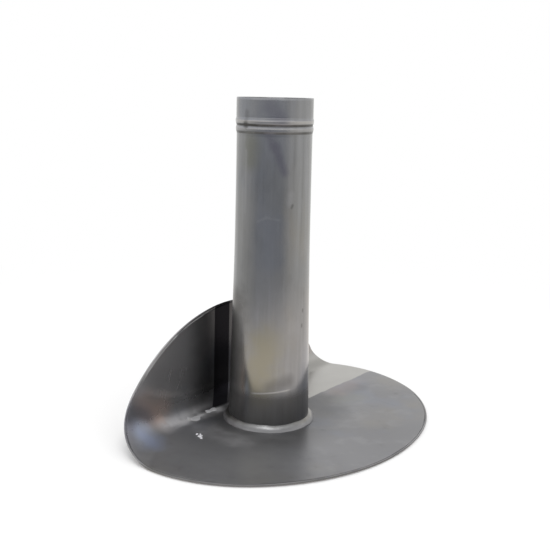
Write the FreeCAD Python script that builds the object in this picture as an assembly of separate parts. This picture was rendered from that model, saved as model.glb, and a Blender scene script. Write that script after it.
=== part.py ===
import FreeCAD, Part
import math
import os

# Lead roof outlet: a pipe burned into an oval lead sheet, with the sheet folded up behind the pipe.
# The origin is on the pipe's axis, at the underside of the flat part. +Z runs up the pipe,
# the fold runs along X, and the folded part, the flap, stands on the +Y side.

# Pipe: above its straight foot it tapers to its nominal size
PIPE_OUTER_DIAMETER = 80.0
PIPE_FOOT_DIAMETER = 87.5
TAPER_LENGTH = 190.0
PIPE_WALL = 2.0
PIPE_LENGTH = 350.0
COLLAR_LENGTH = 21.0
COLLAR_SWELL = 0.5
BEAD_COUNT = 2
BEAD_PITCH = 7.6
BEAD_HEIGHT = 0.95
RIM_EASE = 0.4

# Burned seam round the foot of the pipe
SEAM_LEG = 6.25

# Flange sheet
SHEET_THICKNESS = 2.0
OVAL_LENGTH = 381.0
OVAL_WIDTH = 322.0
OVAL_OFFSET_X = 12.5
OVAL_OFFSET_Y = 3.0
FLAP_HEIGHT = 116.5

# Fold, inside radii: tight from the pipe's left side to the right end, opening out to the left end, at -X
FOLD_RADIUS = 21.0
FOLD_RADIUS_AT_LEFT_END = 94.5
SEAM_TO_FOLD = 1.0

# Sheet left outside the oval until it is trimmed
TRIM_ALLOWANCE = 12.0

# Derived sizes and places
PIPE_RADIUS = PIPE_OUTER_DIAMETER / 2
BORE_RADIUS = PIPE_RADIUS - PIPE_WALL
FOOT_RADIUS = PIPE_FOOT_DIAMETER / 2
FOOT_BORE_RADIUS = FOOT_RADIUS - PIPE_WALL
FOOT_TOP_Z = SHEET_THICKNESS + SEAM_LEG
COLLAR_BOTTOM_Z = PIPE_LENGTH - COLLAR_LENGTH
BEADS_BOTTOM_Z = COLLAR_BOTTOM_Z - BEAD_COUNT * BEAD_PITCH
SEAM_RADIUS = FOOT_RADIUS + SEAM_LEG
FLAP_FRONT_Y = SEAM_RADIUS + SEAM_TO_FOLD + FOLD_RADIUS
FLAP_BACK_Y = FLAP_FRONT_Y + SHEET_THICKNESS
OVAL_REAR_Y = OVAL_WIDTH / 2 + OVAL_OFFSET_Y
OVAL_FRONT_Y = OVAL_OFFSET_Y - OVAL_WIDTH / 2

POINT = FreeCAD.Vector
UP = POINT(0, 0, 1)
FULL_TURN = 360.0
QUARTER_CIRCLE_WEIGHT = math.sqrt(0.5)


def polyline(points):
    return [Part.LineSegment(start, end).toShape() for start, end in zip(points, points[1:])]


def revolved(edges):
    """Solid turned about the pipe's axis from a closed profile in the XZ plane."""
    profile = Part.Face(Part.Wire(Part.__sortEdges__(edges)))
    return profile.revolve(POINT(0, 0, 0), UP, FULL_TURN)


def bead(number):
    """Profile of one raised bead; the top one ends on the widened collar."""
    low = BEADS_BOTTOM_Z + number * BEAD_PITCH
    end_radius = PIPE_RADIUS
    if number == BEAD_COUNT - 1:
        end_radius += COLLAR_SWELL
    foot = POINT(PIPE_RADIUS, 0, low)
    crest = POINT(PIPE_RADIUS + BEAD_HEIGHT, 0, low + BEAD_PITCH / 2)
    end = POINT(end_radius, 0, low + BEAD_PITCH)
    return Part.Arc(foot, crest, end).toShape()


def outlet_pipe():
    beads = [bead(number) for number in range(BEAD_COUNT)]
    wall = polyline([
        POINT(PIPE_RADIUS + COLLAR_SWELL, 0, COLLAR_BOTTOM_Z),
        POINT(PIPE_RADIUS + COLLAR_SWELL, 0, PIPE_LENGTH),
        POINT(BORE_RADIUS + COLLAR_SWELL, 0, PIPE_LENGTH),
        POINT(BORE_RADIUS + COLLAR_SWELL, 0, COLLAR_BOTTOM_Z),
        POINT(BORE_RADIUS, 0, BEADS_BOTTOM_Z),
        POINT(BORE_RADIUS, 0, FOOT_TOP_Z + TAPER_LENGTH),
        POINT(FOOT_BORE_RADIUS, 0, FOOT_TOP_Z),
        POINT(FOOT_BORE_RADIUS, 0, 0),
        POINT(FOOT_RADIUS, 0, 0),
        POINT(FOOT_RADIUS, 0, FOOT_TOP_Z),
        POINT(PIPE_RADIUS, 0, FOOT_TOP_Z + TAPER_LENGTH),
        POINT(PIPE_RADIUS, 0, BEADS_BOTTOM_Z),
    ])
    pipe = revolved(wall + beads)
    rim = [edge for edge in pipe.Edges if edge.Closed and edge.BoundBox.ZMin > PIPE_LENGTH - RIM_EASE]
    return pipe.makeChamfer(RIM_EASE, rim)


def burned_seam():
    corner = POINT(FOOT_RADIUS, 0, SHEET_THICKNESS)
    toe = POINT(SEAM_RADIUS, 0, SHEET_THICKNESS)
    top = POINT(FOOT_RADIUS, 0, FOOT_TOP_Z)
    return revolved(polyline([corner, toe, top, corner]))


def quarter_circle(x, radius):
    """Poles of the fold's section, tangent to the flat part and to the flap."""
    return [POINT(x, FLAP_BACK_Y - radius, 0), POINT(x, FLAP_BACK_Y, 0), POINT(x, FLAP_BACK_Y, radius)]


def opening_fold(reach):
    """Underside of the fold left of the pipe: its radius grows with the square of the way from the pipe."""
    tight = FOLD_RADIUS + SHEET_THICKNESS
    share = (reach - FOOT_RADIUS) / (OVAL_LENGTH / 2 - FOOT_RADIUS)
    wide = tight + (FOLD_RADIUS_AT_LEFT_END - FOLD_RADIUS) * share ** 2
    stations = [
        quarter_circle(-reach, wide),
        quarter_circle(-(reach + FOOT_RADIUS) / 2, tight),
        quarter_circle(-FOOT_RADIUS, tight),
    ]
    weights = [[weight] * len(stations) for weight in (1.0, QUARTER_CIRCLE_WEIGHT, 1.0)]
    surface = Part.BSplineSurface()
    surface.buildFromPolesMultsKnots(
        list(zip(*stations)), [3, 3], [3, 3], [0, 1], [0, 1], False, False, 2, 2, weights
    )
    return surface


def tight_fold(reach):
    """Underside of the fold from the pipe's left side to the right end: a quarter of a cylinder."""
    radius = FOLD_RADIUS + SHEET_THICKNESS
    start, corner, end = quarter_circle(-FOOT_RADIUS, radius)
    middle = corner + POINT(0, -radius, radius) * (1 - QUARTER_CIRCLE_WEIGHT)
    return Part.Arc(start, middle, end).toShape().extrude(POINT(reach + FOOT_RADIUS, 0, 0))


def flat_face(fold_edge, far_y, far_z, reach):
    """Flat face from the opening fold's edge, carried straight on to the right, out to a far line."""
    start = fold_edge.firstVertex().Point
    end = fold_edge.lastVertex().Point
    corners = [
        end,
        POINT(reach, end.y, end.z),
        POINT(reach, far_y, far_z),
        POINT(-reach, far_y, far_z),
        start,
    ]
    return Part.Face(Part.Wire([fold_edge] + polyline(corners)))


def oval_prism():
    """Prism on the oval, slanted so that it cuts the flap off at its height."""
    slant = POINT(0, -(OVAL_REAR_Y - FLAP_BACK_Y) / FLAP_HEIGHT, 1)
    centre = POINT(OVAL_OFFSET_X, OVAL_OFFSET_Y, 0)
    oval = Part.Ellipse(centre, OVAL_LENGTH / 2, OVAL_WIDTH / 2)
    base = Part.Face(Part.Wire(oval.toShape()))
    base.translate(slant * -FLAP_HEIGHT)
    return base.extrude(slant * (3 * FLAP_HEIGHT))


def flange_sheet():
    """Folded underside trimmed to the oval, thickened to the sheet and holed for the pipe."""
    reach = OVAL_LENGTH / 2 + abs(OVAL_OFFSET_X) + TRIM_ALLOWANCE
    front_y = OVAL_FRONT_Y - TRIM_ALLOWANCE
    top_z = FLAP_HEIGHT + TRIM_ALLOWANCE
    opening = opening_fold(reach)
    flat = flat_face(opening.uIso(0).toShape(), front_y, 0, reach)
    flap = flat_face(opening.uIso(1).toShape(), FLAP_BACK_Y, top_z, reach)
    underside = Part.Shell([flat, opening.toShape(), tight_fold(reach), flap])
    underside.sewShape()
    trimmed = Part.Shell(underside.common(oval_prism()).Faces)
    trimmed.sewShape()
    sheet = trimmed.makeOffsetShape(-SHEET_THICKNESS, Part.Precision.confusion(), fill=True)
    return sheet.cut(Part.makeCylinder(FOOT_RADIUS, SHEET_THICKNESS))


PIECES = {
    "flange_sheet": flange_sheet,
    "outlet_pipe": outlet_pipe,
    "burned_seam": burned_seam,
}

os.makedirs("parts", exist_ok=True)
for name, make in PIECES.items():
    shape = make()
    shape.exportStep("parts/" + name + ".step")
    print(name, "valid", shape.isValid(), "solids", len(shape.Solids), "volume", round(shape.Volume, 1))
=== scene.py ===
import math

import bmesh
import bpy
import numpy as np
from bpy.props import FloatProperty, FloatVectorProperty, IntProperty, PointerProperty
from mathutils import Matrix, Quaternion, Vector


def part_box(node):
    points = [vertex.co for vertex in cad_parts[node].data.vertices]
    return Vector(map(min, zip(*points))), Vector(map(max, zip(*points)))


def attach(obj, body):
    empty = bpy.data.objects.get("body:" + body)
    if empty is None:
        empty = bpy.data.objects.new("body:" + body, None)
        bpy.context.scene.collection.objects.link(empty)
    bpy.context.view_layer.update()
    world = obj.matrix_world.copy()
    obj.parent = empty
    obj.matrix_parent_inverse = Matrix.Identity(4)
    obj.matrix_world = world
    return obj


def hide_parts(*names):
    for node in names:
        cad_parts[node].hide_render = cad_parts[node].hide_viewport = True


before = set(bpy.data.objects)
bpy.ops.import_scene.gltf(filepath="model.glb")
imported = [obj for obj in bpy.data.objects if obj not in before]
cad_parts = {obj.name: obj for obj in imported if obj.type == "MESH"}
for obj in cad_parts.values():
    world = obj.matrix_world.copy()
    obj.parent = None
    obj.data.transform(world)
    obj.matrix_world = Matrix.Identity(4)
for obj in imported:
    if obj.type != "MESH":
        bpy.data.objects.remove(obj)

bl_info = {
    "name": "Lead roof outlet",
    "version": (1, 0, 0),
    "blender": (4, 5, 0),
    "location": "View3D > Sidebar > Roof outlet",
    "description": "Builds the dressed lead roof outlet over its packed model, and the studio it stands in",
    "category": "Object",
}

BODY = "root"
MM = 0.001
TURN = 2 * math.pi
PIPE_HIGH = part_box("outlet_pipe")[1]
SHEET_LOW, SHEET_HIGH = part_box("flange_sheet")
SEAM_LOW, SEAM_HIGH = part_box("burned_seam")
OVAL_WIDTH = 322 * MM


def length(name, default, description):
    return FloatProperty(name=name, description=description, default=default, unit="LENGTH", precision=5)


def colour(name, default, description):
    return FloatVectorProperty(
        name=name, description=description, default=default, size=3, subtype="COLOR", min=0, max=1
    )


def rotation(name, degrees, description):
    return FloatProperty(name=name, description=description, default=math.radians(degrees), subtype="ANGLE")


def amount(name, default, description):
    return FloatProperty(name=name, description=description, default=default, min=0)


class PipeSizes(bpy.types.PropertyGroup):
    """Sizes of the outlet pipe."""

    foot_radius: length("Foot radius", PIPE_HIGH.x, "Outside radius of the pipe in the sheet")
    radius: length("Radius", 40 * MM, "Outside radius of the pipe above its taper")
    height: length("Height", PIPE_HIGH.z, "Height of the pipe's rim above the underside of the sheet")
    wall: length("Wall", 2 * MM, "Thickness of the pipe's wall")
    taper: length("Taper", 190 * MM, "Length over which the foot narrows to the pipe")
    collar: length("Collar", 21 * MM, "Length of the widened end above the beads")
    swell: length("Swell", 0.5 * MM, "How much the widened end stands proud of the pipe")
    bead_pitch: length("Bead pitch", 7.6 * MM, "Height of one rolled bead")
    bead_height: length("Bead height", 0.95 * MM, "How far a bead stands out")
    beads: IntProperty(name="Beads", description="Number of rolled beads", default=2, min=0, max=6)
    unevenness: length("Unevenness", 0.13 * MM, "How far the wall wanders from a true circle")


class SheetSizes(bpy.types.PropertyGroup):
    """Sizes of the flange sheet."""

    thickness: length("Thickness", SEAM_LOW.z, "Thickness of the lead sheet")
    oval_length: length("Oval length", SHEET_HIGH.x - SHEET_LOW.x, "Length of the oval along the fold")
    oval_width: length("Oval width", OVAL_WIDTH, "Width of the oval that trims the sheet, across the fold")
    offset_x: length(
        "Offset along", (SHEET_HIGH.x + SHEET_LOW.x) / 2, "Oval's centre from the pipe, along the fold"
    )
    offset_y: length(
        "Offset across", SHEET_LOW.y + OVAL_WIDTH / 2, "Oval's centre from the pipe, across the fold"
    )
    flap_back: length("Flap back", SHEET_HIGH.y, "Back of the upright flap from the pipe's axis")
    flap_height: length("Flap height", SHEET_HIGH.z, "Height of the upright flap")
    fold_radius: length("Fold radius", 21 * MM, "Inside radius of the fold behind the pipe")
    fold_radius_left: length(
        "Left fold radius", 94.5 * MM, "Inside radius of the fold half the oval's length left of the pipe"
    )
    unevenness: length("Unevenness", 0.3 * MM, "Height of the gentle waves left by dressing by hand")


class SeamSizes(bpy.types.PropertyGroup):
    """Sizes of the burned seam and of the splashes beside it."""

    radius: length("Radius", SEAM_HIGH.x, "Outside radius of the seam on the sheet")
    top: length("Top", SEAM_HIGH.z, "Height of the seam on the pipe")
    crown: length("Crown", 1.0 * MM, "How far the run lead bulges between sheet and pipe")
    ripple: length("Ripple", 0.03 * MM, "Height of the ripples left by the torch")
    ripple_pitch: length("Ripple pitch", 6.5 * MM, "Distance between two ripples")
    splash_height: length("Splash height", 0.9 * MM, "Height of the small splashes on the sheet")
    lump_height: length("Lump height", 0.8 * MM, "Height of the broad lumps on the sheet")


class LeadColours(bpy.types.PropertyGroup):
    """Colours of the lead's finishes, and of painted highlight and shade."""

    sheet: colour("Sheet", (0.25, 0.249, 0.258), "Bare metal of the flat part of the sheet")
    flap: colour("Flap", (0.36, 0.354, 0.362), "Brighter metal of the folded part of the sheet")
    # Scraped metal, and also a painted reflection that lightens the sector right of the pipe
    shaved_and_lit: colour("Shaved", (0.478, 0.467, 0.44), "Metal scraped clean beside the seam")
    pipe: colour("Pipe", (0.276, 0.277, 0.281), "Bare metal of the pipe")
    seam: colour("Seam", (0.43, 0.432, 0.434), "Bright metal of the burned seam")
    splash: colour("Splash", (0.8, 0.8, 0.83), "Whitish skin of the small splashes")
    lump: colour("Lump", (0.55, 0.55, 0.565), "Dull skin of the broad lumps")
    # Painted highlight: light colour on the crests of the beads
    crest: colour("Crest", (0.46, 0.445, 0.435), "Metal rubbed bright on the beads")
    # Rubbed metal, and also a painted highlight along the fold
    rubbed: colour("Rubbed", (0.48, 0.475, 0.485), "Metal rubbed bright along the fold")
    blue: colour("Blue tarnish", (0.25, 0.268, 0.32), "Thin bluish oxide")
    warm: colour("Warm tarnish", (0.31, 0.29, 0.255), "Thin brownish oxide")
    sheen: colour("Blue sheen", (0.405, 0.455, 0.595), "Bright bluish oxide on the fold")
    violet: colour("Violet tarnish", (0.2, 0.195, 0.225), "Dark violet oxide")
    brown: colour("Brown tarnish", (0.485, 0.385, 0.35), "Reddish brown oxide")
    straw: colour("Straw tarnish", (0.278, 0.266, 0.218), "Straw coloured oxide")
    olive: colour("Olive tarnish", (0.235, 0.238, 0.215), "Greenish oxide")
    pale: colour("Pale bloom", (0.34, 0.34, 0.352), "Pale bloom of fresh oxide")
    # Dark dirt, and also painted shade beside the seam, on the cut rim, at the pipe's foot, behind the pipe
    # and in the bead grooves
    grime_and_shade: colour("Grime", (0.07, 0.068, 0.064), "Dark dirt in grooves and pits")
    # Painted shade: near black for the flap behind the pipe, standing in for the flap's dark reflection of
    # the pipe's back
    painted_flap_shade: colour("Soot", (0.006, 0.0056, 0.0075), "Soot that the torch left on the flap behind the pipe")


class StudioSettings(bpy.types.PropertyGroup):
    """Camera, floor and lights."""

    distance: length("Camera distance", 881.49 * MM, "Camera's way from the pipe's axis along the floor")
    camera_height: length("Camera height", 355.87 * MM, "Camera's height above the floor")
    bearing: rotation("Bearing", 50.23, "Turn of the camera round the pipe")
    pitch: rotation("Pitch", 8.0, "How far the camera looks down")
    roll: rotation("Roll", 1.26, "Camera's tilt")
    lens: amount("Lens", 54.632, "Focal length in millimetres")
    floor: colour("Floor", (0.96, 0.96, 0.96), "Pale floor under the outlet")
    overhead: amount("Overhead", 2.0, "Brightness of the soft lamp above")
    ceiling: amount("Ceiling", 0.5, "Brightness of the ceiling in the metal")


class Value:
    """A shader socket that answers to Python's arithmetic with Math nodes."""

    def __init__(self, shader, socket):
        self.shader = shader
        self.socket = socket

    def math(self, operation, *operands):
        return self.shader.node("ShaderNodeMath", {"operation": operation}, dict(enumerate(operands)))

    def __add__(self, other):
        return self.math("ADD", self, other)

    def __sub__(self, other):
        return self.math("SUBTRACT", self, other)

    def __rsub__(self, other):
        return self.math("SUBTRACT", other, self)

    def __mul__(self, other):
        return self.math("MULTIPLY", self, other)

    def __abs__(self):
        return self.math("ABSOLUTE", self)

    __radd__ = __add__
    __rmul__ = __mul__

    def most(self, other):
        return self.math("MAXIMUM", self, other)

    def step(self, low, high):
        """Rises smoothly from 0 at low to 1 at high, or falls where high is the smaller."""
        settings = {"interpolation_type": "SMOOTHSTEP"}
        sockets = {"Value": self, "From Min": low, "From Max": high}
        return self.shader.node("ShaderNodeMapRange", settings, sockets)


# Sockets of a Mix node that mixes colours
FIRST_COLOUR, SECOND_COLOUR, MIXED_COLOUR = 6, 7, 2

NOISE_ROUGHNESS = 0.55

# Shares of a stroke's half width: where a crisp stroke is at its full strength, and where a ragged one ends
CRISP_CORE = 0.3
RAGGED_END = 1.3


class Shader:
    """Node tree of one material, filled by calls."""

    def __init__(self, tree):
        self.tree = tree
        tree.nodes.clear()

    def node(self, kind, settings=None, sockets=None, output=0):
        """Adds a node, sets it up, feeds its sockets and gives one of its outputs."""
        node = self.tree.nodes.new(kind)
        for name, value in (settings or {}).items():
            if name == "stops":
                self.fill_ramp(node.color_ramp, value)
            else:
                setattr(node, name, value)
        for key, value in (sockets or {}).items():
            if isinstance(value, Value):
                self.tree.links.new(value.socket, node.inputs[key])
            else:
                node.inputs[key].default_value = value
        return Value(self, node.outputs[output]) if node.outputs else node

    @staticmethod
    def fill_ramp(ramp, stops):
        ramp.elements.remove(ramp.elements[1])
        ramp.elements[0].position = stops[0][0]
        ramp.elements[0].color = (*stops[0][1], 1.0)
        for position, shade in stops[1:]:
            ramp.elements.new(position).color = (*shade, 1.0)

    def place(self):
        """Place on the object, in metres."""
        return self.node("ShaderNodeTexCoord", output=3)

    def vector(self, operation, first, second=(0, 0, 0), output=0):
        return self.node("ShaderNodeVectorMath", {"operation": operation}, {0: first, 1: second}, output)

    def axes(self, way):
        """Its three shares along x, y and z."""
        split = self.node("ShaderNodeSeparateXYZ", {}, {0: way}).socket.node
        return [Value(self, socket) for socket in split.outputs]

    def along(self, way, direction):
        """How far a way goes in a direction."""
        return self.vector("DOT_PRODUCT", way, direction, 1)

    def from_axis(self, place):
        """Distance from the pipe's axis."""
        return self.vector("LENGTH", self.vector("MULTIPLY", place, (1, 1, 0)), output=1)

    def noise(self, place, scale, detail=4.0, stretch=None):
        """Cloudy pattern; a stretch below 1 draws it out along that axis."""
        if stretch:
            place = self.vector("MULTIPLY", place, stretch)
        sockets = {0: place, "Scale": scale, "Detail": detail, "Roughness": NOISE_ROUGHNESS}
        return self.node("ShaderNodeTexNoise", {}, sockets)

    def mix(self, factor, first, second):
        """Colour between two colours."""
        sockets = {0: factor}
        for key, shade in ((FIRST_COLOUR, first), (SECOND_COLOUR, second)):
            sockets[key] = shade if isinstance(shade, Value) else (*shade, 1.0)
        return self.node("ShaderNodeMix", {"data_type": "RGBA"}, sockets, MIXED_COLOUR)

    def tint(self, base, rows):
        """Lays tints over a colour; each row has a mask, a share and a colour."""
        for mask, share, shade in rows:
            base = self.mix(mask * share, base, shade)
        return base

    def stroke(self, place, start, end, half_width, ragged=None):
        """Mask of a stroke from start to end, in millimetres, with an edge that a noise makes ragged."""
        start = Vector(start) * MM
        way = Vector(end) * MM - start
        width = half_width * MM
        from_start = self.vector("SUBTRACT", place, tuple(start))
        along = self.along(from_start, tuple(way / way.length_squared))
        sockets = {0: tuple(way), "Scale": self.node("ShaderNodeClamp", {}, {0: along})}
        nearest = self.node("ShaderNodeVectorMath", {"operation": "SCALE"}, sockets)
        gap = self.vector("LENGTH", self.vector("SUBTRACT", from_start, nearest), output=1)
        if ragged is None:
            return gap.step(width, width * CRISP_CORE)
        return (gap + (ragged - 0.5) * width).step(width * RAGGED_END, 0)

    def bump(self, height, distance, strength):
        sockets = {"Height": height, "Distance": distance, "Strength": strength}
        return self.node("ShaderNodeBump", {}, sockets)

    def output(self, surface):
        self.node("ShaderNodeOutputMaterial", {}, {"Surface": surface})


def new_material(name):
    material = bpy.data.materials.new(name)
    material.use_nodes = True
    return material, Shader(material.node_tree)


def metal(shader, base, roughness, normal, bare=1.0):
    """Lead; where it isn't bare metal, a dull skin of oxide shows."""
    sockets = {"Base Color": base, "Metallic": bare, "Roughness": roughness, "Normal": normal}
    shader.output(shader.node("ShaderNodeBsdfPrincipled", {}, sockets))


# Tarnish, wear and painted shade on the sheet: colour, a stroke's start, end and half width in millimetres,
# and its share
SHEET_PATCHES = (
    ("pale", (-122, 18, 2), (-100, -62, 2), 58, 0.9),
    ("pale", (-70, 22, 2), (-68, -2, 2), 5, 0.7),
    ("pale", (-68, -2, 2), (-57, -28, 2), 7, 0.8),
    ("pale", (-55, -30, 2), (-32, -54, 2), 9, 0.8),
    # The next two rows are painted shade: over the right of the flat sheet, and beside the seam on its
    # right
    ("grime_and_shade", (150, -70, 2), (62, -112, 2), 62, 0.13),
    ("grime_and_shade", (60, -34, 2), (68, 4, 2), 34, 0.45),
    ("grime_and_shade", (84, -17, 2), (142, -19, 2), 18, 0.42),
    ("olive", (96, -34, 2), (112, -38, 2), 20, 0.5),
    ("brown", (-119, 69, 25), (-110, 65, 17), 21, 0.85),
    ("brown", (-111, 65, 18), (-106, 61, 11), 9, 0.8),
    ("brown", (-104, 67, 18), (-95, 69, 20), 18, 0.65),
    ("violet", (-139, 64, 26), (-124, 65, 21), 16, 0.7),
    ("sheen", (-144, 47, 10), (-140, 37, 5), 20, 1.0),
    ("violet", (-161, 46, 14), (-152, 57, 22), 12, 0.6),
    ("brown", (112, -14, 2), (150, -8, 2), 18, 0.25),
)

# Tarnish, wear and painted shade on the pipe: colour, start and end of a stroke as an angle in degrees
# and a height in millimetres, its half width and its share
PIPE_PATCHES = (
    ("straw", (-158, 50), (-148, 96), 23, 1.0),
    # Painted shade at the front right of the foot, above the painted reflection line
    ("grime_and_shade", (-140, 49), (-112, 55), 9, 0.4),
    ("violet", (-149, 312), (-139.6, 300), 7, 0.7),
    ("violet", (-139.6, 300), (-124, 275), 6, 0.85),
    ("violet", (-150, 341), (-130, 329), 10, 0.55),
    ("olive", (-177, 304), (-176, 286), 13, 0.8),
    ("blue", (-141, 220), (-143, 184), 18, 0.3),
    ("grime_and_shade", (150, 52), (155, 138), 21, 0.58),
    ("pale", (174.2, 296), (174.2, 232), 2.2, 0.5),
    ("pale", (-114, 252), (-115, 243), 5, 0.6),
    ("pale", (-162, 224), (-149, 228.5), 1.8, 0.6),
    ("pale", (-149, 228.5), (-131, 226), 1.8, 0.5),
    ("grime_and_shade", (175, 335), (174, 322), 4, 0.3),
    ("grime_and_shade", (171, 322), (174, 322), 3.6, 1.0),
    ("grime_and_shade", (-110.3, 241), (-111.5, 238.5), 2.0, 0.5),
    ("grime_and_shade", (-85.8, 129), (-85.8, 127), 1.8, 0.5),
    ("grime_and_shade", (-87.8, 113), (-87.8, 111), 1.8, 0.5),
)

# Scratches on the flap, dust in the fold, a smear beside the seam: start, end and half width in millimetres
FLAP_SCRATCHES = (((-89.5, 71.5, 25), (-79, 72, 55.7), 1.6), ((-74.5, 72, 24.8), (-62.5, 72, 49.2), 1.4))
FOLD_DUST = ((-27, 54.5, 2), (-106, 52, 4), 12)
SEAM_SMEAR = ((-72, 26, 2), (-73, -20, 2), 22)

# Places on the sheet between which each finish and each painted shade sets in
FLAP_START = (6 * MM, 30 * MM)
SCRAPED_LIT_LINE = (-2.1 * MM, -0.6 * MM)
SCRAPED_LIT_START = (44 * MM, 52 * MM)
SEAM_SHADE_REACH = (105 * MM, 48 * MM)
RIM_LEVEL = (4.5 * MM, 2.5 * MM)
RIM_DIRT_AND_SHADE_REACH = (130 * MM, 0.0)
# Painted shade behind the pipe: how it fades, its black strip, where it starts up the fold, the flap's back
# and the slant of its edge
FLAP_SHADE_FADE = (62 * MM, 6 * MM)
FLAP_SHADE_STRIP = (14.8 * MM, 11.5 * MM)
FLAP_SHADE_FOOT = (53.5 * MM, 58.5 * MM)
FLAP_SHADE_BACK = 72 * MM
FLAP_SHADE_SLANT = 1.2


def painted_flap_shade_mask(x, y, wobble):
    """Painted shade on the fold and the flap: a black strip behind the pipe, and a cloud that thins out."""
    beside = abs(x + (FLAP_SHADE_BACK - y) * FLAP_SHADE_SLANT)
    cloud = (beside + wobble).step(*FLAP_SHADE_FADE) * 0.85
    return cloud.most(beside.step(*FLAP_SHADE_STRIP)) * y.step(*FLAP_SHADE_FOOT)


def lead_sheet_material(colours):
    """Milled lead sheet: cloudy oxide tints, faint rolling lines, a scraped sector that is also a painted
    reflection, a painted highlight along the fold, handling marks, and painted shade behind the pipe, by
    the seam and on the rim.
    """
    material, shader = new_material("lead_sheet")
    place = shader.place()
    x, y, z = shader.axes(place)
    facing = shader.node("ShaderNodeNewGeometry", output="Normal")
    forward = shader.along(facing, (0, -1, 0))
    level = abs(shader.along(facing, (0, 0, 1)))
    upper = shader.along(facing, (0, -1, 1)).step(-0.6, -0.2)
    clouds = shader.noise(place, 11, 3)
    other_clouds = shader.noise(shader.vector("ADD", place, (0.31, 0.17, 0.53)), 9, 4)
    blotches = shader.noise(place, 34, 3)
    mottle = shader.noise(place, 55, 5)
    rolling = shader.noise(place, 900, 2, stretch=(0.05, 1, 1))
    grain = shader.noise(place, 700, 3)
    fine_scratches = shader.noise(place, 260, 2, stretch=(1, 0.03, 0.2)).step(0.66, 0.74)
    wobble = mottle * (6 * MM) - 3 * MM
    upright = z.step(*FLAP_START)
    # Sector right of the pipe, lighter: scraped metal and a painted reflection of light from behind
    scraped = (y + wobble).step(*SCRAPED_LIT_LINE) * x.step(*SCRAPED_LIT_START) * (1 - upright) * upper
    # Lighter band where the fold turns towards the front: rubbed metal and a painted highlight
    rubbed = forward.step(0.04, 0.16) * forward.step(0.9, 0.45) * blotches.step(0.3, 0.56)
    # Cut rim, darker: dirt on the sheared edge and painted shade, strongest on the left of the sheet
    rim = z.step(*RIM_LEVEL) * level.step(0.97, 0.75)
    # Painted shade: black on the flap and fold behind the pipe, where shade and the pipe's dark reflection
    # fall
    painted_flap_shade = painted_flap_shade_mask(x, y, wobble) * forward.step(-0.1, 0.1)
    long_scratch, short_scratch = [shader.stroke(place, *row) for row in FLAP_SCRATCHES]
    scratches = long_scratch.most(short_scratch)
    dust = shader.stroke(place, *FOLD_DUST, blotches) * (0.45 + mottle.step(0.42, 0.6) * 0.55)
    smear = shader.stroke(place, *SEAM_SMEAR, blotches) * (0.2 + mottle.step(0.4, 0.62) * 0.2)
    dusty = dust.most(smear) * upper
    # Painted shade on the flat sheet, darker towards the seam where the sheet meets the pipe
    painted_seam_shade = shader.from_axis(place).step(*SEAM_SHADE_REACH) * (1 - upright) * (1 - dusty)
    base = shader.tint(shader.mix(upright, colours.sheet, colours.flap), (
        (clouds.step(0.5, 0.7), 0.6, colours.blue),
        (other_clouds.step(0.52, 0.72), 0.55, colours.warm),
        (rubbed, 0.6, colours.rubbed),
        (blotches.step(0.5, 0.7), 0.35, colours.pale),
    ))
    for name, start, end, half_width, share in SHEET_PATCHES:
        patch = shader.stroke(place, start, end, half_width, mottle) * upper
        base = shader.mix(patch * share, base, getattr(colours, name))
    base = shader.tint(base, (
        (dusty, 1.0, colours.rubbed),
        (mottle.step(0.6, 0.8), 0.25, colours.grime_and_shade),
        (painted_seam_shade, 0.45, colours.grime_and_shade),
        (scraped, 0.82 + blotches * 0.25, colours.shaved_and_lit),
        (rim, 0.12 + x.step(*RIM_DIRT_AND_SHADE_REACH) * 0.6, colours.grime_and_shade),
        (painted_flap_shade, 1.0, colours.painted_flap_shade),
        (scratches, 0.16, colours.rubbed),
    ))
    roughness = 0.27 + mottle * 0.1 - upright * 0.1 + fine_scratches * 0.06 + scratches * 0.05 + rim * 0.2
    height = rolling * 0.35 + grain * 0.25 + fine_scratches * 0.3
    bare = 0.75 + painted_flap_shade * 0.25 - (dusty * (1 - painted_flap_shade)).most(rim) * 0.6
    metal(shader, base, roughness, shader.bump(height, 0.12 * MM, 0.3), bare)
    return material


# Places on the pipe between which each finish, painted highlight and painted shade sets in
FOOT_SHADE = (46 * MM, 34 * MM)
CREST_HIGHLIGHT = (2.4 * MM, 0.6 * MM)
GROOVE_DIRT_AND_SHADE = (2 * MM, 0.5 * MM)
GROOVE_LIFT = 0.5 * MM
SHADED_REAR = (-4 * MM, 10 * MM)
SHADED_BELOW = (160 * MM, 100 * MM)
LIP_START = (300 * MM, 345 * MM)

# Beads from the top one down: share of painted highlight on the crest and of dirt and painted shade in the
# groove under it
BEAD_PAINTED_LIGHT = ((0.8, 0.95), (0.35, 0.75))
FAINT_DIRT = 0.02

# Painted reflection of the flange's rim: a light line round the front of the pipe's foot
REFLECTION_LINE_TURN = math.radians(-134)
REFLECTION_LINE_LEVEL = 43.6 * MM
REFLECTION_LINE_SLOPE = 0.1
REFLECTION_LINE_WIDTH = (1.2 * MM, 0.4 * MM)
REFLECTION_LINE_START = (-24 * MM, -19 * MM)
REFLECTION_LINE_END = (21 * MM, 14 * MM)
REFLECTION_LINE_FRONT = (0.0, 10 * MM)


# Mask of the painted reflection line
def reflection_line_mask(shader, place, z):
    across = shader.along(place, (-math.sin(REFLECTION_LINE_TURN), math.cos(REFLECTION_LINE_TURN), 0))
    toward = shader.along(place, (math.cos(REFLECTION_LINE_TURN), math.sin(REFLECTION_LINE_TURN), 0))
    line = abs(z - (across * REFLECTION_LINE_SLOPE + REFLECTION_LINE_LEVEL)).step(*REFLECTION_LINE_WIDTH)
    return line * across.step(*REFLECTION_LINE_START) * across.step(*REFLECTION_LINE_END) * toward.step(*REFLECTION_LINE_FRONT)


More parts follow.
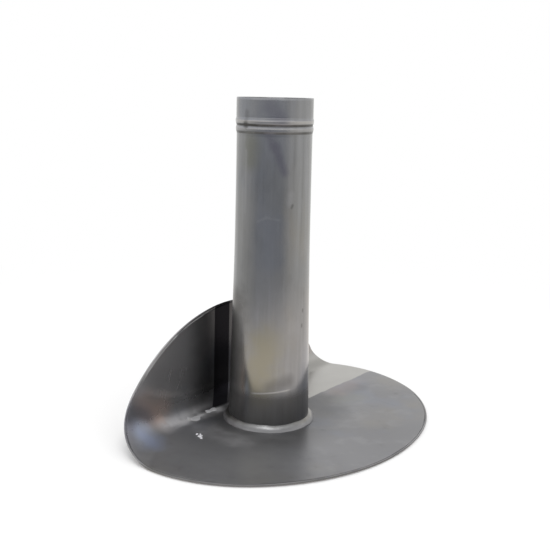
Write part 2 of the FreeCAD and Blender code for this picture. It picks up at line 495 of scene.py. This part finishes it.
def lead_pipe_material(colours, pipe):
    """Drawn lead pipe: upright streaks, patches of tarnish, painted highlights on the beads with dirt and
    painted shade under them, painted shade at the foot and the back, a painted reflection line and nicks.
    """
    material, shader = new_material("lead_pipe")
    place = shader.place()
    y, z = shader.axes(place)[1:]
    facing = shader.node("ShaderNodeNewGeometry", output="Normal")
    inward = shader.along(facing, shader.vector("MULTIPLY", place, (1, 1, 0))).step(0.01, -0.01)
    streaks = shader.noise(place, 170, 4, stretch=(1, 1, 0.035))
    fine_streaks = shader.noise(place, 620, 3, stretch=(1, 1, 0.02))
    clouds = shader.noise(place, 14, 4, stretch=(1, 1, 0.45))
    dapple = shader.noise(place, 36, 3, stretch=(1, 1, 0.5))
    mottle = shader.noise(place, 75, 5)
    grain = shader.noise(place, 800, 3)
    # Painted shade at the pipe's foot, where the pipe mirrors the darker flange
    painted_foot_shade = z.step(*FOOT_SHADE) * (0.58 + dapple * 0.1)
    # Painted shade on the back of the pipe below the flap's top, where it faces the flap; rougher there too
    dull = y.step(*SHADED_REAR) * z.step(*SHADED_BELOW)
    base = shader.tint(colours.pipe, (
        (clouds.step(0.46, 0.68), 0.45, colours.blue),
        ((1 - clouds).step(0.54, 0.74), 0.5, colours.warm),
        (streaks.step(0.5, 0.8), 0.18, colours.grime_and_shade),
        ((1 - streaks).step(0.5, 0.68), 0.35, colours.pale),
        (dapple.step(0.5, 0.68), 0.35, colours.pale),
        (dapple.step(0.46, 0.3), 0.12, colours.grime_and_shade),
    ))
    dirt = mottle * FAINT_DIRT
    crest_level = pipe.height - pipe.collar - pipe.bead_pitch / 2
    for highlight_share, dirt_and_shade_share in BEAD_PAINTED_LIGHT:
        # Painted highlight on each bead's crest
        crest = abs(z - crest_level).step(*CREST_HIGHLIGHT)
        base = shader.mix(crest * highlight_share, base, colours.crest)
        # Dirt and painted shade in the groove under each bead
        groove = abs(z - (crest_level - pipe.bead_pitch / 2 + GROOVE_LIFT)).step(*GROOVE_DIRT_AND_SHADE)
        dirt = dirt.most(groove * dirt_and_shade_share * (0.5 + mottle))
        crest_level -= pipe.bead_pitch
    base = shader.mix(dirt, base, colours.grime_and_shade)
    for name, start, end, half_width, share in PIPE_PATCHES:
        patch = shader.stroke(place, pipe_point(pipe, *start), pipe_point(pipe, *end), half_width, mottle)
        base = shader.mix(patch * share, base, getattr(colours, name))
    base = shader.tint(base, (
        (painted_foot_shade, 1.0, colours.grime_and_shade),
        # Painted reflection: a light line in the seam's colour
        (reflection_line_mask(shader, place, z), 0.8, colours.seam),
        (dull, 0.2, colours.grime_and_shade),
    ))
    roughness = 0.12 + mottle * 0.06 + streaks * 0.05 + dirt.most(painted_foot_shade) * 0.2 + dull * 0.3
    height = streaks * 0.4 + fine_streaks * 0.25 + grain * 0.06
    bare = 1 - inward * z.step(*LIP_START) * 0.8
    metal(shader, base, roughness, shader.bump(height, 0.1 * MM, 0.2), bare)
    return material


# Dull toe of the seam, by the distance from the pipe's axis, and the front of the seam, away from which it
# gets painted shade
SEAM_TOE = (46.1 * MM, 48.8 * MM)
SEAM_FRONT_TURN = math.radians(-142)
SEAM_SHADE_FADE = (43 * MM, 22 * MM)


def run_lead_material(name, shade, colours, bare=1.0, toe=None):
    """Lead that has run and set: brighter, with thin dark oxide in places and, on a seam, a dull toe and
    painted shade away from its front.
    """
    material, shader = new_material(name)
    place = shader.place()
    mottle = shader.noise(place, 120, 4)
    grain = shader.noise(place, 900, 3)
    base = shader.mix(mottle.step(0.54, 0.72) * 0.4, shade, colours.warm)
    if toe:
        toward = shader.along(place, (math.cos(SEAM_FRONT_TURN), math.sin(SEAM_FRONT_TURN), 0))
        dull = (shader.from_axis(place) + mottle * (3 * MM) - 1.5 * MM).step(*toe)
        base = shader.tint(base, (
            # Painted shade on the seam's sides and back, in the warm oxide's colour
            (toward.step(*SEAM_SHADE_FADE), 0.4 + mottle * 0.35, colours.warm),
            (dull, 0.85, colours.sheet),
        ))
        bare = bare - dull * 0.25
    roughness = 0.34 + mottle * 0.1
    metal(shader, base, roughness, shader.bump(mottle * 0.7 + grain * 0.2, 0.15 * MM, 0.25), bare)
    return material


# How softly the taper ends, as a share of its length
TAPER_KNEE = 0.12


def pipe_radius(pipe, level):
    """Outside radius of the plain pipe at a height, with a soft end to its taper."""
    share = (level - SEAM_HIGH.z) / pipe.taper
    soft = 1 - TAPER_KNEE * np.logaddexp(0, (1 - share) / TAPER_KNEE)
    return pipe.foot_radius + (pipe.radius - pipe.foot_radius) * np.clip(soft, 0, 1)


def pipe_point(pipe, degrees, height):
    """Point on the pipe's wall at an angle and a height, in millimetres."""
    angle = math.radians(degrees)
    radius = float(pipe_radius(pipe, height * MM)) / MM
    return (radius * math.cos(angle), radius * math.sin(angle), height)


def link(name, mesh, material):
    piece = bpy.data.objects.new(name, mesh)
    bpy.context.scene.collection.objects.link(piece)
    mesh.materials.append(material)
    return piece


def finish_mesh(work, mesh):
    """Turns the faces outward and shades them smoothly."""
    bmesh.ops.recalc_face_normals(work, faces=work.faces)
    work.to_mesh(mesh)
    work.free()
    mesh.shade_smooth()
    return mesh


def ring_mesh(name, rings):
    """Skin of rings of points, with a band of faces between each two and from the last to the first."""
    ring_count, point_count = rings.shape[:2]
    near = np.arange(ring_count)[:, None] * point_count
    far = np.roll(near, -1, axis=0)
    point = np.arange(point_count)[None, :]
    after = np.roll(point, -1, axis=1)
    corners = (near + point, near + after, far + after, far + point)
    faces = np.stack(corners, axis=-1).reshape(-1, 4).tolist()
    mesh = bpy.data.meshes.new(name)
    mesh.from_pydata(rings.reshape(-1, 3).tolist(), [], faces)
    work = bmesh.new()
    work.from_mesh(mesh)
    return finish_mesh(work, mesh)


def dress(piece, node=None):
    """Puts a piece on the outlet, and hides the plain node it stands for."""
    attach(piece, BODY)
    if node:
        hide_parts(node)


def rise(value, low, high):
    """Smooth step from 0 at low to 1 at high."""
    share = np.clip((value - low) / (high - low), 0, 1)
    return share * share * (3 - 2 * share)


def folded_underside(sheet, across, along):
    """Where a point of the oval lies once the sheet is folded, and the fold's turn there."""
    half = sheet.oval_length / 2
    rear = sheet.offset_y + sheet.oval_width / 2
    slant = (rear - sheet.flap_back) / sheet.flap_height
    share = np.clip((-across - PIPE_HIGH.x) / (half - PIPE_HIGH.x), 0, None)
    opening = (sheet.fold_radius_left - sheet.fold_radius) * share ** 2
    radius = sheet.fold_radius + sheet.thickness + opening
    start = sheet.flap_back - radius
    end = sheet.flap_back + slant * radius
    flat = along <= start
    upright = along >= end
    inside = np.clip(((along - start) / radius - slant) / math.hypot(1, slant), -1, 1)
    turn = np.clip(np.arcsin(inside) + math.atan(slant), 0, math.pi / 2)
    turn = np.where(flat, 0, np.where(upright, math.pi / 2, turn))
    y = np.where(upright, sheet.flap_back, start + radius * np.sin(turn))
    y = np.where(flat, along, y)
    z = np.where(upright, (along - sheet.flap_back) / slant, radius * (1 - np.cos(turn)))
    z = np.where(flat, 0, z)
    return np.stack([across, y, z], axis=-1), turn


# Waves left in the sheet by hand: heading in radians, span in metres, phase and weight
WAVES = ((0.3, 0.125, 0.4, 1.0), (1.7, 0.105, 2.1, 0.9), (2.6, 0.07, 4.0, 0.35), (0.9, 0.052, 1.2, 0.2))
WAVES_START = (53 * MM, 100 * MM)

# Dents along the fold: span in metres and phase
DENTS = ((0.041, 0.7), (0.097, 1.9))
DENT_WEIGHT = 0.8


def hand_waves(sheet, across, along, turn):
    """Height of the gentle waves in the dressed sheet; they die out at the seam."""
    total = np.zeros_like(across)
    for heading, span, phase, weight in WAVES:
        way = across * math.cos(heading) + along * math.sin(heading)
        total += weight * (1 + np.sin(TURN * way / span + phase)) / 2
    dents = np.ones_like(across)
    for span, phase in DENTS:
        dents = dents * np.sin(TURN * across / span + phase)
    total += DENT_WEIGHT * (1 + dents) / 2 * np.sin(2 * turn)
    return sheet.unevenness * total * rise(np.hypot(across, along), *WAVES_START)


# Step that is taken along the sheet to find which way it faces
NUDGE = 0.02 * MM


def sheet_skin(sheet, across, along):
    """Underside point and the normal that points up, and inwards on the flap."""
    here, turn = folded_underside(sheet, across, along)
    beside = folded_underside(sheet, across + NUDGE, along)[0] - here
    beyond = folded_underside(sheet, across, along + NUDGE)[0] - here
    normal = np.cross(beside, beyond)
    normal /= np.linalg.norm(normal, axis=-1, keepdims=True)
    return here + normal * hand_waves(sheet, across, along, turn)[..., None], normal


# Rounded edge of the cut sheet: how far each ring lies inside the cut and below the skin, in eases
EDGE_EASE = ((2, 0), (1.1, 0), (0.75, 0.04), (0.45, 0.17), (0.2, 0.42), (0.05, 0.72), (0, 1))
EASE = 0.85 * MM


def flange_rings(sheet):
    """Rings of points from the hole over the top to the rim, round it and back underneath."""
    points, top_rings, under_rings = 400, 88, 56
    angle = np.linspace(0, TURN, points, endpoint=False)
    wander = 0.0016 * np.sin(3 * angle + 0.5) + 0.001 * np.sin(7 * angle + 2.0)
    cut = 1 + wander * (1 - rise(np.sin(angle), 0.2, 0.5))
    hole = PIPE_HIGH.x * np.stack([np.cos(angle), np.sin(angle)], axis=-1)
    oval = np.stack([
        sheet.offset_x + sheet.oval_length / 2 * cut * np.cos(angle),
        sheet.offset_y + sheet.oval_width / 2 * cut * np.sin(angle),
    ], axis=-1)
    reach = np.linalg.norm(oval - hole, axis=-1)
    thick = sheet.thickness
    rows = [(share, 0.0, thick) for share in np.linspace(0, 1, top_rings)[:-1]]
    rows += [(1.0, inset * EASE, thick - drop * EASE) for inset, drop in EDGE_EASE]
    rows += [(1.0, inset * EASE, drop * EASE) for inset, drop in EDGE_EASE[::-1]]
    rows += [(share, 0.0, 0.0) for share in np.linspace(1, 0, under_rings)[1:]]
    rings = []
    for share, inset, level in rows:
        spread = (share - inset / reach)[:, None] if share == 1.0 else share
        flat = hole + (oval - hole) * spread
        skin, normal = sheet_skin(sheet, flat[:, 0], flat[:, 1])
        rings.append(skin + normal * level)
    return np.array(rings)


# Rounded rim of the pipe: how far each ring lies inside the wall and below the top
RIM_EASE = ((0.1 * MM, 0.14 * MM), (0.42 * MM, 0.0))
RIM_START = 0.5 * MM
LIP_DEPTH = 4 * MM
COLLAR_START = 0.8 * MM
COLLAR_CROWN = 0.04 * MM
BEAD_ROUNDNESS = 0.85


def pipe_profile(pipe):
    """Radius and height of each ring, up the outside, over the rim and down the inside."""
    top = pipe.height
    collar_low = top - pipe.collar
    beads_low = collar_low - pipe.beads * pipe.bead_pitch
    profile = [(float(pipe_radius(pipe, level)), level) for level in np.linspace(0, beads_low, 84)]
    for number in range(pipe.beads):
        low = beads_low + number * pipe.bead_pitch
        end_swell = pipe.swell if number == pipe.beads - 1 else 0
        for share in np.linspace(0, 1, 19)[1:]:
            crest = pipe.bead_height * math.sin(math.pi * share) ** BEAD_ROUNDNESS
            profile.append((pipe.radius + end_swell * share + crest, low + share * pipe.bead_pitch))
    wide = pipe.radius + pipe.swell
    bore = wide - pipe.wall
    collar = np.linspace(collar_low + COLLAR_START, top - RIM_START, 9)
    profile += [(wide + COLLAR_CROWN, level) for level in collar]
    profile += [(wide - inset, top - drop) for inset, drop in RIM_EASE]
    profile += [(bore + inset, top - drop) for inset, drop in RIM_EASE[::-1]]
    profile.append((bore, top - RIM_START))
    profile += [(bore, level) for level in np.linspace(top - LIP_DEPTH, collar_low, 5)]
    inside = np.linspace(beads_low, 0, 48)
    profile += [(float(pipe_radius(pipe, level)) - pipe.wall, level) for level in inside]
    return np.array(profile)


# Out-of-round of the pipe: lobes, twist in a metre, phase and weight
PIPE_LOBES = ((3, -14, 1.0, 0.45), (5, 23, 0.0, 0.3), (2, 61, 2.0, 0.25))
OVALNESS = 0.8
UNEVEN_FROM = 90 * MM


def pipe_rings(pipe):
    """Turned profile, a little out of round, as soft lead pipe is."""
    points = 288
    profile = pipe_profile(pipe)
    angle = np.linspace(0, TURN, points, endpoint=False)[None, :]
    radius = profile[:, 0][:, None]
    level = profile[:, 1][:, None]
    share = rise(level, SEAM_HIGH.z, UNEVEN_FROM)
    uneven = OVALNESS * np.sin(2 * angle + 0.9) * level / pipe.height
    for lobes, twist, phase, weight in PIPE_LOBES:
        uneven = uneven + weight * np.sin(lobes * angle + twist * level + phase)
    radius = radius + pipe.unevenness * uneven * share
    x = radius * np.cos(angle)
    y = radius * np.sin(angle)
    z = np.broadcast_to(level, x.shape)
    return np.stack([x, y, z], axis=-1)


# Wandering toe and top of the seam: lobes, phase and reach in millimetres
TOE_LOBES = ((5, 0.4, 0.175), (11, 2.2, 0.125), (23, 1.0, 0.1))
TOP_LOBES = ((7, 1.3, 0.3), (17, 0.0, 0.1))

# How far the seam runs into the pipe, its toe into the sheet, and its base below and inside the toe
SEAM_SINK = 0.15 * MM
TOE_SINK = 0.12 * MM
BASE_SINK = 0.4 * MM
BASE_INSET = 0.6 * MM


def seam_wander(angle, rows):
    return sum(reach * MM * np.sin(lobes * angle + phase) for lobes, phase, reach in rows)


def seam_rings(seam, sheet):
    """Run lead between sheet and pipe: a bulging strip with ripples and a wandering toe."""
    points, across = 720, 14
    angle = np.linspace(0, TURN, points, endpoint=False)
    toe_radius = seam.radius + seam_wander(angle, TOE_LOBES)
    top_level = seam.top + seam_wander(angle, TOP_LOBES)
    foot = PIPE_HIGH.x
    count = round(TURN * seam.radius / seam.ripple_pitch)
    rings = []

    def ring(radius, level):
        level = np.broadcast_to(level, angle.shape)
        rings.append(np.stack([radius * np.cos(angle), radius * np.sin(angle), level], axis=-1))

    for share in np.linspace(0, 1, across):
        swell = math.sin(math.pi * share)
        ripple = (1 + np.sin(count * angle + 0.8 * np.sin(3 * angle) + 0.9 * swell)) / 2
        bulge = (seam.crown + seam.ripple * ripple) * swell / math.sqrt(2)
        radius = foot - SEAM_SINK + (toe_radius - foot) * share + bulge
        ring(radius, top_level + (sheet.thickness - TOE_SINK - top_level) * share + bulge)
    ring(toe_radius - BASE_INSET, sheet.thickness - BASE_SINK)
    ring(np.full(points, foot - SEAM_SINK), sheet.thickness - BASE_SINK)
    return np.array(rings)


# Drops of lead beside the seam: place on the oval, half length and half width, all in millimetres,
# and turn in degrees
SPLASHES = (
    (-92, 14.5, 3.6, 2.6, 20),
    (-90.5, 20.5, 1.8, 1.5, 0),
    (-94.8, 10, 2.0, 1.6, 50),
    (-88.6, 17.6, 1.3, 1.0, 0),
)
LUMPS = (
    (-31, 55.5, 6.0, 4.6, 15),
    (-38, 56, 4.6, 3.8, -10),
    (-62, 51.5, 9.0, 7.0, 30),
    (-68.5, 55.5, 2.8, 5.6, -20),
)

# Rings of a drop from its edge to its top, as shares of its size, and its sink as a share of its height
DROP_RINGS = (1.0, 0.88, 0.74, 0.58, 0.4, 0.2)
DROP_SINK = 0.05


def drops_mesh(name, drops, height, sheet):
    """Small drops of lead that fell beside the seam and set on the sheet."""
    points = 24
    angle = np.linspace(0, TURN, points, endpoint=False)
    work = bmesh.new()
    for number, (across, along, long, wide, degrees) in enumerate(drops):
        skin, normal = sheet_skin(sheet, np.array([across * MM]), np.array([along * MM]))
        normal = Vector(normal[0])
        centre = Vector(skin[0]) + normal * sheet.thickness
        turn = normal.to_track_quat("Z", "Y") @ Quaternion((0, 0, 1), math.radians(degrees))
        lobes = 1 + 0.1 * np.sin(3 * angle + number) + 0.06 * np.sin(5 * angle + 2 * number)
        rings = []
        for share in DROP_RINGS:
            x = long * MM * share * lobes * np.cos(angle)
            y = wide * MM * share * lobes * np.sin(angle)
            lift = height * ((1 - share * share) ** 1.5 * (1 + DROP_SINK) - DROP_SINK)
            rings.append([work.verts.new(centre + turn @ Vector((a, b, lift))) for a, b in zip(x, y)])
        for lower, upper in zip(rings, rings[1:]):
            for corner in range(points):
                after = (corner + 1) % points
                work.faces.new((lower[corner], lower[after], upper[after], upper[corner]))
        work.faces.new(rings[-1])
        work.faces.new(list(reversed(rings[0])))
    return finish_mesh(work, bpy.data.meshes.new(name))


class OUTLET_OT_flange(bpy.types.Operator):
    """Dress the oval lead sheet with its folded flap"""

    bl_idname = "outlet.flange"
    bl_label = "Flange sheet"

    def execute(self, context):
        scene = context.scene
        mesh = ring_mesh("dressed_sheet", flange_rings(scene.outlet_sheet))
        material = lead_sheet_material(scene.outlet_colours)
        dress(link("dressed_sheet", mesh, material), "flange_sheet")
        return {"FINISHED"}


class OUTLET_OT_pipe(bpy.types.Operator):
    """Dress the pipe with its taper, beads and widened end"""

    bl_idname = "outlet.pipe"
    bl_label = "Outlet pipe"

    def execute(self, context):
        scene = context.scene
        mesh = ring_mesh("drawn_pipe", pipe_rings(scene.outlet_pipe))
        material = lead_pipe_material(scene.outlet_colours, scene.outlet_pipe)
        dress(link("drawn_pipe", mesh, material), "outlet_pipe")
        return {"FINISHED"}


class OUTLET_OT_seam(bpy.types.Operator):
    """Run the rippled seam round the foot of the pipe, and its splashes"""

    bl_idname = "outlet.seam"
    bl_label = "Burned seam"

    def execute(self, context):
        scene = context.scene
        seam = scene.outlet_seam
        colours = scene.outlet_colours
        material = run_lead_material("lead_seam", colours.seam, colours, toe=SEAM_TOE)
        mesh = ring_mesh("run_seam", seam_rings(seam, scene.outlet_sheet))
        dress(link("run_seam", mesh, material), "burned_seam")
        self.drops(scene, "lead_splashes", SPLASHES, seam.splash_height, colours.splash, 0.2)
        self.drops(scene, "lead_lumps", LUMPS, seam.lump_height, colours.lump, 0.3)
        return {"FINISHED"}

    def drops(self, scene, name, places, height, shade, bare):
        mesh = drops_mesh(name, places, height, scene.outlet_sheet)
        material = run_lead_material(name, shade, scene.outlet_colours, bare)
        dress(link(name, mesh, material))


def only_in_metal(card):
    """A card that is seen in the metal and nowhere else."""
    card.visible_camera = False
    card.visible_diffuse = False
    card.visible_shadow = False
    card.visible_transmission = False


def square_mesh(name, side, level):
    corners = [(-side, -side, level), (side, -side, level), (side, side, level), (-side, side, level)]
    mesh = bpy.data.meshes.new(name)
    mesh.from_pydata(corners, [], [(0, 1, 2, 3)])
    return mesh


# Stage, in metres: half sides and levels of the floor and the mat, and where the floor turns white
FLOOR_SIDE, FLOOR_LEVEL = 8.0, -0.4 * MM
MAT_SIDE, MAT_LEVEL = 6.0, -0.2 * MM
FLOOR_FADE = (0.35, 0.9)
WHITE = (1.0, 1.0, 1.0)


def floor_material(studio):
    """Pale floor that runs into the white of the background."""
    material, shader = new_material("pale_floor")
    far = shader.vector("LENGTH", shader.place(), output=1).step(*FLOOR_FADE)
    near = shader.node("ShaderNodeBsdfDiffuse", {}, {"Color": (*studio.floor, 1.0)})
    white = shader.node("ShaderNodeEmission", {}, {"Color": (*WHITE, 1.0), "Strength": 1.0})
    shader.output(shader.node("ShaderNodeMixShader", {}, {0: far, 1: near, 2: white}))
    return material


# Shades of the room by bearing from the camera, in degrees, to the camera's right
ROOM_SHADES = (
    (-180, (0.9, 0.9, 0.89)),
    (-112, (0.79, 0.79, 0.77)),
    (-83, (0.63, 0.63, 0.615)),
    (-58, (0.47, 0.475, 0.48)),
    (-42, (0.405, 0.42, 0.445)),
    (27, (0.405, 0.42, 0.45)),
    (55, (0.68, 0.675, 0.66)),
    (80, (0.83, 0.825, 0.8)),
    (108, (0.88, 0.875, 0.85)),
)
NEAR_MAT = (1.07, 1.015, 0.965)

# Mat: how far its pale middle lies to the camera's right of the pipe, and where its own shade sets in
MAT_MIDDLE = 0.1
MAT_FADE = (0.32, 0.85)

# Rise of a way at which the walls turn white, and then the ceiling begins
WHITE_WALL = (0.01, 0.07)
CEILING_START = (0.42, 0.62)


def by_bearing(shader, studio, way):
    """Shade that changes with the bearing of a way from the outlet."""
    toward = (-math.sin(studio.bearing), -math.cos(studio.bearing), 0)
    right = (math.cos(studio.bearing), -math.sin(studio.bearing), 0)
    sockets = {0: shader.along(way, toward), 1: shader.along(way, right)}
    turned = shader.node("ShaderNodeCombineXYZ", {}, sockets)
    bearing = shader.node("ShaderNodeTexGradient", {"gradient_type": "RADIAL"}, {0: turned})
    stops = [((angle + 180) / 360, shade) for angle, shade in ROOM_SHADES]
    return shader.node("ShaderNodeValToRGB", {"stops": stops}, {0: bearing})


def mat_material(studio):
    """Grey mat, darkest towards the camera, paler and warmer near the outlet."""
    material, shader = new_material("grey_mat")
    place = shader.place()
    shade = by_bearing(shader, studio, place)
    middle = (MAT_MIDDLE * math.cos(studio.bearing), -MAT_MIDDLE * math.sin(studio.bearing), 0)
    reach = shader.vector("DISTANCE", place, middle, 1).step(*MAT_FADE)
    shade = shader.mix(reach, NEAR_MAT, shade)
    shader.output(shader.node("ShaderNodeEmission", {}, {"Color": shade, "Strength": 1.0}))
    return material


# Lamp, in metres, and the camera's sensor in millimetres and its shift in widths of the picture
LAMP_PLACE, LAMP_TARGET, LAMP_SIZE = (-0.42, -0.35, 1.5), (0, 0, 0.05), 0.8
SENSOR_WIDTH = 36.0
SHIFT_X, SHIFT_Y = 0.00376, -0.12
FARTHEST = 100.0


def soft_lamp(name, place, target, size, radiance):
    """Square lamp that looks as bright as a radiance says."""
    lamp = bpy.data.lights.new(name, "AREA")
    lamp.shape = "SQUARE"
    lamp.size = size
    lamp.energy = radiance * math.pi * size * size
    holder = bpy.data.objects.new(name, lamp)
    holder.location = place
    holder.rotation_euler = (Vector(target) - Vector(place)).to_track_quat("-Z", "Y").to_euler()
    bpy.context.scene.collection.objects.link(holder)


class OUTLET_OT_studio(bpy.types.Operator):
    """Set up the pale floor, the soft light and the camera"""

    bl_idname = "outlet.studio"
    bl_label = "Studio"

    def execute(self, context):
        scene = context.scene
        studio = scene.outlet_studio
        scene.view_settings.view_transform = "Standard"
        self.make_world(scene, studio)
        self.make_floor(studio)
        self.make_mat(studio)
        soft_lamp("overhead", LAMP_PLACE, LAMP_TARGET, LAMP_SIZE, studio.overhead)
        self.make_camera(scene, studio)
        return {"FINISHED"}

    def make_world(self, scene, studio):
        """White room; in the metal its far walls are grey and its ceiling dimmer."""
        world = bpy.data.worlds.new("white_room")
        world.use_nodes = True
        shader = Shader(world.node_tree)
        way = shader.node("ShaderNodeTexCoord", output=0)
        up = shader.axes(way)[2]
        walls = by_bearing(shader, studio, way)
        walls = shader.mix(up.step(*WHITE_WALL), walls, WHITE)
        walls = shader.mix(up.step(*CEILING_START), walls, (studio.ceiling,) * 3)
        in_metal = shader.node("ShaderNodeLightPath", output="Is Glossy Ray")
        shade = shader.mix(in_metal, WHITE, walls)
        room = shader.node("ShaderNodeBackground", {}, {"Color": shade, "Strength": 1.0})
        shader.node("ShaderNodeOutputWorld", {}, {"Surface": room})
        scene.world = world

    def make_floor(self, studio):
        mesh = square_mesh("floor", FLOOR_SIDE, FLOOR_LEVEL)
        link("floor", mesh, floor_material(studio))

    def make_mat(self, studio):
        mat = link("front_mat", square_mesh("front_mat", MAT_SIDE, 0), mat_material(studio))
        mat.location.z = MAT_LEVEL
        only_in_metal(mat)

    def make_camera(self, scene, studio):
        view = bpy.data.cameras.new("photo_view")
        view.sensor_width = SENSOR_WIDTH
        view.sensor_fit = "HORIZONTAL"
        view.lens = studio.lens
        view.shift_x = SHIFT_X
        view.shift_y = SHIFT_Y
        view.clip_end = FARTHEST
        holder = bpy.data.objects.new("photo_view", view)
        bearing, pitch, roll = studio.bearing, studio.pitch, studio.roll
        ahead = Vector((math.sin(bearing), math.cos(bearing), 0))
        right = Vector((math.cos(bearing), -math.sin(bearing), 0))
        forward = ahead * math.cos(pitch) - Vector((0, 0, math.sin(pitch)))
        upward = ahead * math.sin(pitch) + Vector((0, 0, math.cos(pitch)))
        axis_x = right * math.cos(roll) + upward * math.sin(roll)
        axis_y = upward * math.cos(roll) - right * math.sin(roll)
        turn = Matrix((axis_x, axis_y, -forward)).transposed().to_4x4()
        spot = Vector((0, 0, studio.camera_height)) - ahead * studio.distance
        holder.matrix_world = Matrix.Translation(spot) @ turn
        scene.collection.objects.link(holder)
        scene.camera = holder


class OUTLET_PT_panel(bpy.types.Panel):
    """Sizes, colours and build steps of the outlet"""

    bl_label = "Roof outlet"
    bl_idname = "OUTLET_PT_panel"
    bl_space_type = "VIEW_3D"
    bl_region_type = "UI"
    bl_category = "Roof outlet"

    def draw(self, context):
        for operator in OPERATORS:
            self.layout.operator(operator.bl_idname)
        for name in GROUPS:
            box = self.layout.box()
            group = getattr(context.scene, name)
            for key in group.bl_rna.properties.keys():
                if key not in ("rna_type", "name"):
                    box.prop(group, key)


GROUPS = {
    "outlet_pipe": PipeSizes,
    "outlet_sheet": SheetSizes,
    "outlet_seam": SeamSizes,
    "outlet_colours": LeadColours,
    "outlet_studio": StudioSettings,
}
OPERATORS = (OUTLET_OT_flange, OUTLET_OT_pipe, OUTLET_OT_seam, OUTLET_OT_studio)


def register():
    for group in GROUPS.values():
        bpy.utils.register_class(group)
    for kind in OPERATORS + (OUTLET_PT_panel,):
        bpy.utils.register_class(kind)
    for name, group in GROUPS.items():
        setattr(bpy.types.Scene, name, PointerProperty(type=group))


def unregister():
    for name in GROUPS:
        delattr(bpy.types.Scene, name)
    for kind in (OUTLET_PT_panel,) + OPERATORS[::-1]:
        bpy.utils.unregister_class(kind)
    for group in GROUPS.values():
        bpy.utils.unregister_class(group)


def main():
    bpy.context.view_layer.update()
    register()
    bpy.ops.outlet.flange()
    bpy.ops.outlet.pipe()
    bpy.ops.outlet.seam()
    bpy.ops.outlet.studio()


if __name__ == "__main__":
    main()
